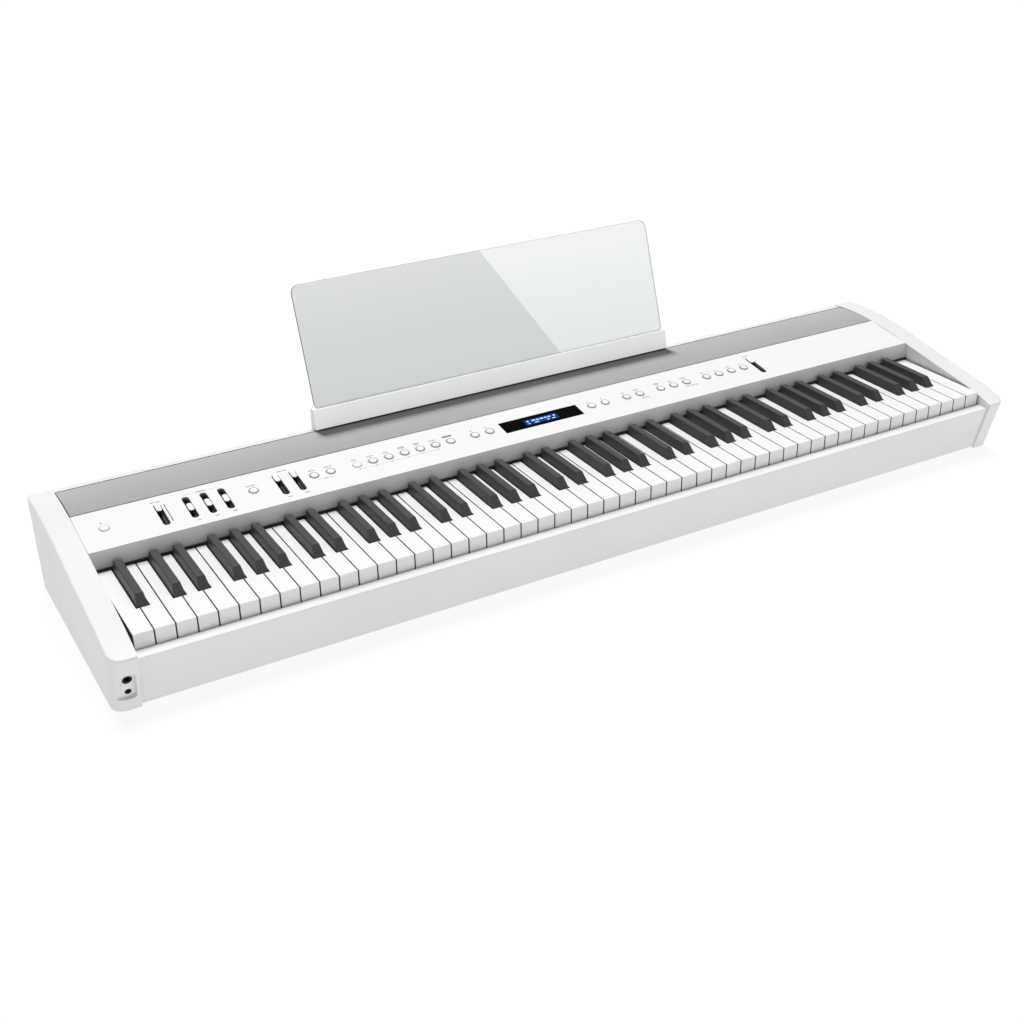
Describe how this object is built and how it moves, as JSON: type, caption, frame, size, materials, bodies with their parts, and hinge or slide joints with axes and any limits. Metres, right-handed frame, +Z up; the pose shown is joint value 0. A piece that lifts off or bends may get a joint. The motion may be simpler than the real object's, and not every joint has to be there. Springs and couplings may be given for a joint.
{
  "type": "digital piano",
  "caption": "Slim white slab digital piano with full-size keys, sloping control panel with sliders, buttons and display, grey grille and clear lift-off music rest.",
  "frame": {"origin": "under the middle of the whole piano, on the plane its feet stand on", "axes": "+X to the player's right along the keyboard, +Y away from the player, +Z up"},
  "size_m": [1.2912, 0.3811, 0.3059],
  "materials": {
    "case_white": "satin moulded",
    "white_key": "semi-gloss",
    "black_key": "fine matt texture",
    "button_cap": "satin",
    "slider_knob": "satin",
    "base_board": "painted composite board",
    "grille": "fine mesh, satin grey",
    "inner_frame": "as moulded",
    "felt": "pressed felt",
    "display_black": "gloss",
    "lcd_blue": "backlit screen",
    "circuit_green": "solder mask",
    "speaker_black": "matt",
    "socket_black": "matt",
    "foot_rubber": "matt",
    "screw_steel": "zinc plated",
    "clear_panel": "clear, lightly tinted, polished"
  },
  "bodies": {
    "root": {"bottom_board": "base_board", "case_screws": "screw_steel", "circuit_boards": "circuit_green", "control_panel": "case_white", "dc_inlet": "socket_black", "display_window": "display_black", "feet": "foot_rubber", "front_rail": "case_white", "headphone_sockets": "socket_black", "key_felt": "felt", "key_frame": "inner_frame", "lcd_module": "lcd_blue", "left_end_block": "case_white", "rear_cover": "case_white", "rear_sockets": "socket_black", "right_end_block": "case_white", "speaker_drivers": "speaker_black", "speaker_grille": "grille"},
    "white_keys_a": {"white_keys_a": "white_key"},
    "white_keys_b": {"white_keys_b": "white_key"},
    "white_keys_c": {"white_keys_c": "white_key"},
    "white_keys_d": {"white_keys_d": "white_key"},
    "white_keys_e": {"white_keys_e": "white_key"},
    "white_keys_f": {"white_keys_f": "white_key"},
    "white_keys_g": {"white_keys_g": "white_key"},
    "black_keys_in_threes": {"black_keys_in_threes": "black_key"},
    "black_keys_in_twos": {"black_keys_in_twos": "black_key"},
    "button_function_1": {"button_function_1": "button_cap"},
    "button_function_2": {"button_function_2": "button_cap"},
    "button_layer_1": {"button_layer_1": "button_cap"},
    "button_layer_2": {"button_layer_2": "button_cap"},
    "button_page_1": {"button_page_1": "button_cap"},
    "button_page_2": {"button_page_2": "button_cap"},
    "button_power": {"button_power": "button_cap"},
    "button_rhythm_1": {"button_rhythm_1": "button_cap"},
    "button_rhythm_2": {"button_rhythm_2": "button_cap"},
    "button_rhythm_3": {"button_rhythm_3": "button_cap"},
    "button_rhythm_4": {"button_rhythm_4": "button_cap"},
    "button_song_1": {"button_song_1": "button_cap"},
    "button_song_2": {"button_song_2": "button_cap"},
    "button_song_3": {"button_song_3": "button_cap"},
    "button_tone_1": {"button_tone_1": "button_cap"},
    "button_tone_2": {"button_tone_2": "button_cap"},
    "button_tone_3": {"button_tone_3": "button_cap"},
    "button_tone_4": {"button_tone_4": "button_cap"},
    "button_tone_5": {"button_tone_5": "button_cap"},
    "button_tone_6": {"button_tone_6": "button_cap"},
    "button_tone_7": {"button_tone_7": "button_cap"},
    "button_touch": {"button_touch": "button_cap"},
    "button_value_1": {"button_value_1": "button_cap"},
    "button_value_2": {"button_value_2": "button_cap"},
    "slider_backing": {"slider_backing": "slider_knob"},
    "slider_level_left": {"slider_level_left": "slider_knob"},
    "slider_level_right": {"slider_level_right": "slider_knob"},
    "slider_tone_high": {"slider_tone_high": "slider_knob"},
    "slider_tone_low": {"slider_tone_low": "slider_knob"},
    "slider_tone_mid": {"slider_tone_mid": "slider_knob"},
    "slider_volume": {"slider_volume": "slider_knob"},
    "music_rest": {"music_rest_ledge": "case_white", "music_rest_panel": "clear_panel"}
  },
  "joints": [
    {"name": "white_keys_a_press", "type": "hinge", "parent": "root", "child": "white_keys_a", "pos_m": [0, 0.05361, 0.08], "axis": [1, 0, 0], "range_deg": [0, 2.6], "stiffness_Nm_per_rad": 6, "springref_deg": -6.88},
    {"name": "white_keys_b_press", "type": "hinge", "parent": "root", "child": "white_keys_b", "pos_m": [0, 0.05361, 0.08], "axis": [1, 0, 0], "range_deg": [0, 2.6], "stiffness_Nm_per_rad": 6, "springref_deg": -6.88},
    {"name": "white_keys_c_press", "type": "hinge", "parent": "root", "child": "white_keys_c", "pos_m": [0, 0.05361, 0.08], "axis": [1, 0, 0], "range_deg": [0, 2.6], "stiffness_Nm_per_rad": 6, "springref_deg": -6.88},
    {"name": "white_keys_d_press", "type": "hinge", "parent": "root", "child": "white_keys_d", "pos_m": [0, 0.05361, 0.08], "axis": [1, 0, 0], "range_deg": [0, 2.6], "stiffness_Nm_per_rad": 6, "springref_deg": -6.88},
    {"name": "white_keys_e_press", "type": "hinge", "parent": "root", "child": "white_keys_e", "pos_m": [0, 0.05361, 0.08], "axis": [1, 0, 0], "range_deg": [0, 2.6], "stiffness_Nm_per_rad": 6, "springref_deg": -6.88},
    {"name": "white_keys_f_press", "type": "hinge", "parent": "root", "child": "white_keys_f", "pos_m": [0, 0.05361, 0.08], "axis": [1, 0, 0], "range_deg": [0, 2.6], "stiffness_Nm_per_rad": 6, "springref_deg": -6.88},
    {"name": "white_keys_g_press", "type": "hinge", "parent": "root", "child": "white_keys_g", "pos_m": [0, 0.05361, 0.08], "axis": [1, 0, 0], "range_deg": [0, 2.6], "stiffness_Nm_per_rad": 6, "springref_deg": -6.88},
    {"name": "black_keys_in_threes_press", "type": "hinge", "parent": "root", "child": "black_keys_in_threes", "pos_m": [0, 0.05361, 0.08], "axis": [1, 0, 0], "range_deg": [0, 3.1], "stiffness_Nm_per_rad": 16, "springref_deg": -6.88},
    {"name": "black_keys_in_twos_press", "type": "hinge", "parent": "root", "child": "black_keys_in_twos", "pos_m": [0, 0.05361, 0.08], "axis": [1, 0, 0], "range_deg": [0, 3.1], "stiffness_Nm_per_rad": 10, "springref_deg": -6.88},
    {"name": "button_function_1_press", "type": "slide", "parent": "root", "child": "button_function_1", "axis": [0, 0.159, -0.9873], "range_m": [0, 0.001], "stiffness_N_per_m": 400, "springref_m": -0.001},
    {"name": "button_function_2_press", "type": "slide", "parent": "root", "child": "button_function_2", "axis": [0, 0.159, -0.9873], "range_m": [0, 0.001], "stiffness_N_per_m": 400, "springref_m": -0.001},
    {"name": "button_layer_1_press", "type": "slide", "parent": "root", "child": "button_layer_1", "axis": [0, 0.159, -0.9873], "range_m": [0, 0.001], "stiffness_N_per_m": 400, "springref_m": -0.001},
    {"name": "button_layer_2_press", "type": "slide", "parent": "root", "child": "button_layer_2", "axis": [0, 0.159, -0.9873], "range_m": [0, 0.001], "stiffness_N_per_m": 400, "springref_m": -0.001},
    {"name": "button_page_1_press", "type": "slide", "parent": "root", "child": "button_page_1", "axis": [0, 0.159, -0.9873], "range_m": [0, 0.001], "stiffness_N_per_m": 400, "springref_m": -0.001},
    {"name": "button_page_2_press", "type": "slide", "parent": "root", "child": "button_page_2", "axis": [0, 0.159, -0.9873], "range_m": [0, 0.001], "stiffness_N_per_m": 400, "springref_m": -0.001},
    {"name": "button_power_press", "type": "slide", "parent": "root", "child": "button_power", "axis": [0, 0.159, -0.9873], "range_m": [0, 0.001], "stiffness_N_per_m": 400, "springref_m": -0.001},
    {"name": "button_rhythm_1_press", "type": "slide", "parent": "root", "child": "button_rhythm_1", "axis": [0, 0.159, -0.9873], "range_m": [0, 0.001], "stiffness_N_per_m": 400, "springref_m": -0.001},
    {"name": "button_rhythm_2_press", "type": "slide", "parent": "root", "child": "button_rhythm_2", "axis": [0, 0.159, -0.9873], "range_m": [0, 0.001], "stiffness_N_per_m": 400, "springref_m": -0.001},
    {"name": "button_rhythm_3_press", "type": "slide", "parent": "root", "child": "button_rhythm_3", "axis": [0, 0.159, -0.9873], "range_m": [0, 0.001], "stiffness_N_per_m": 400, "springref_m": -0.001},
    {"name": "button_rhythm_4_press", "type": "slide", "parent": "root", "child": "button_rhythm_4", "axis": [0, 0.159, -0.9873], "range_m": [0, 0.001], "stiffness_N_per_m": 400, "springref_m": -0.001},
    {"name": "button_song_1_press", "type": "slide", "parent": "root", "child": "button_song_1", "axis": [0, 0.159, -0.9873], "range_m": [0, 0.001], "stiffness_N_per_m": 400, "springref_m": -0.001},
    {"name": "button_song_2_press", "type": "slide", "parent": "root", "child": "button_song_2", "axis": [0, 0.159, -0.9873], "range_m": [0, 0.001], "stiffness_N_per_m": 400, "springref_m": -0.001},
    {"name": "button_song_3_press", "type": "slide", "parent": "root", "child": "button_song_3", "axis": [0, 0.159, -0.9873], "range_m": [0, 0.001], "stiffness_N_per_m": 400, "springref_m": -0.001},
    {"name": "button_tone_1_press", "type": "slide", "parent": "root", "child": "button_tone_1", "axis": [0, 0.159, -0.9873], "range_m": [0, 0.001], "stiffness_N_per_m": 400, "springref_m": -0.001},
    {"name": "button_tone_2_press", "type": "slide", "parent": "root", "child": "button_tone_2", "axis": [0, 0.159, -0.9873], "range_m": [0, 0.001], "stiffness_N_per_m": 400, "springref_m": -0.001},
    {"name": "button_tone_3_press", "type": "slide", "parent": "root", "child": "button_tone_3", "axis": [0, 0.159, -0.9873], "range_m": [0, 0.001], "stiffness_N_per_m": 400, "springref_m": -0.001},
    {"name": "button_tone_4_press", "type": "slide", "parent": "root", "child": "button_tone_4", "axis": [0, 0.159, -0.9873], "range_m": [0, 0.001], "stiffness_N_per_m": 400, "springref_m": -0.001},
    {"name": "button_tone_5_press", "type": "slide", "parent": "root", "child": "button_tone_5", "axis": [0, 0.159, -0.9873], "range_m": [0, 0.001], "stiffness_N_per_m": 400, "springref_m": -0.001},
    {"name": "button_tone_6_press", "type": "slide", "parent": "root", "child": "button_tone_6", "axis": [0, 0.159, -0.9873], "range_m": [0, 0.001], "stiffness_N_per_m": 400, "springref_m": -0.001},
    {"name": "button_tone_7_press", "type": "slide", "parent": "root", "child": "button_tone_7", "axis": [0, 0.159, -0.9873], "range_m": [0, 0.001], "stiffness_N_per_m": 400, "springref_m": -0.001},
    {"name": "button_touch_press", "type": "slide", "parent": "root", "child": "button_touch", "axis": [0, 0.159, -0.9873], "range_m": [0, 0.001], "stiffness_N_per_m": 400, "springref_m": -0.001},
    {"name": "button_value_1_press", "type": "slide", "parent": "root", "child": "button_value_1", "axis": [0, 0.159, -0.9873], "range_m": [0, 0.001], "stiffness_N_per_m": 400, "springref_m": -0.001},
    {"name": "button_value_2_press", "type": "slide", "parent": "root", "child": "button_value_2", "axis": [0, 0.159, -0.9873], "range_m": [0, 0.001], "stiffness_N_per_m": 400, "springref_m": -0.001},
    {"name": "slider_backing_move", "type": "slide", "parent": "root", "child": "slider_backing", "axis": [0, 0.9873, 0.159], "range_m": [-0.028, 0]},
    {"name": "slider_level_left_move", "type": "slide", "parent": "root", "child": "slider_level_left", "axis": [0, 0.9873, 0.159], "range_m": [-0.028, 0]},
    {"name": "slider_level_right_move", "type": "slide", "parent": "root", "child": "slider_level_right", "axis": [0, 0.9873, 0.159], "range_m": [-0.028, 0]},
    {"name": "slider_tone_high_move", "type": "slide", "parent": "root", "child": "slider_tone_high", "axis": [0, 0.9873, 0.159], "range_m": [-0.014, 0.014]},
    {"name": "slider_tone_low_move", "type": "slide", "parent": "root", "child": "slider_tone_low", "axis": [0, 0.9873, 0.159], "range_m": [-0.014, 0.014]},
    {"name": "slider_tone_mid_move", "type": "slide", "parent": "root", "child": "slider_tone_mid", "axis": [0, 0.9873, 0.159], "range_m": [-0.014, 0.014]},
    {"name": "slider_volume_move", "type": "slide", "parent": "root", "child": "slider_volume", "axis": [0, 0.9873, 0.159], "range_m": [-0.028, 0]},
    {"name": "music_rest_lift", "type": "slide", "parent": "root", "child": "music_rest", "axis": [0, 0, 1], "range_m": [0, 0.015]}
  ]
}
